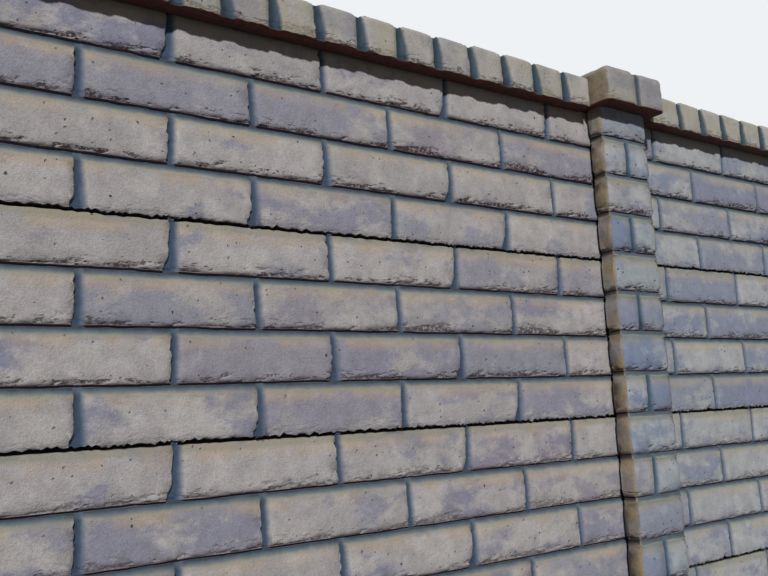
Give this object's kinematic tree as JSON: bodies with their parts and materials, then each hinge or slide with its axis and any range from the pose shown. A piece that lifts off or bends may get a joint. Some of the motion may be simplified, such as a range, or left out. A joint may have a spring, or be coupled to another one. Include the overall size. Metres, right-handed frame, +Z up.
{
  "type": "precast concrete panel wall",
  "caption": "Precast concrete boundary wall: brick-patterned panels stacked between slotted posts, with a coping along the top and a cap on each post.",
  "frame": {"origin": "middle of the base of the second post, at ground level", "axes": "+X along the wall, -Y out of the front face, +Z up"},
  "size_m": [6.393, 0.2074, 2.175],
  "materials": {
    "panel_concrete": "moulded brick face, mottled cream and mauve-grey stain, blue-grey joints",
    "post_concrete": "moulded brick face, mottled cream and mauve-grey stain, blue-grey joints",
    "coping_concrete": "moulded bricks on edge, cream and grey stain, bare red-brown underside",
    "cap_concrete": "moulded brick face, cream stain, bare red-brown underside"
  },
  "bodies": {
    "root": {"bay1_coping": "coping_concrete", "bay1_panel_1": "panel_concrete", "bay1_panel_2": "panel_concrete", "bay1_panel_3": "panel_concrete", "bay1_panel_4": "panel_concrete", "bay1_panel_5": "panel_concrete", "bay1_panel_6": "panel_concrete", "bay1_panel_7": "panel_concrete", "bay2_coping": "coping_concrete", "bay2_panel_1": "panel_concrete", "bay2_panel_2": "panel_concrete", "bay2_panel_3": "panel_concrete", "bay2_panel_4": "panel_concrete", "bay2_panel_5": "panel_concrete", "bay2_panel_6": "panel_concrete", "bay2_panel_7": "panel_concrete", "bay3_coping": "coping_concrete", "bay3_panel_1": "panel_concrete", "bay3_panel_2": "panel_concrete", "bay3_panel_3": "panel_concrete", "bay3_panel_4": "panel_concrete", "bay3_panel_5": "panel_concrete", "bay3_panel_6": "panel_concrete", "bay3_panel_7": "panel_concrete", "post_1": "post_concrete", "post_1_cap": "cap_concrete", "post_2": "post_concrete", "post_2_cap": "cap_concrete", "post_3": "post_concrete", "post_3_cap": "cap_concrete", "post_4": "post_concrete", "post_4_cap": "cap_concrete"}
  },
  "joints": []
}
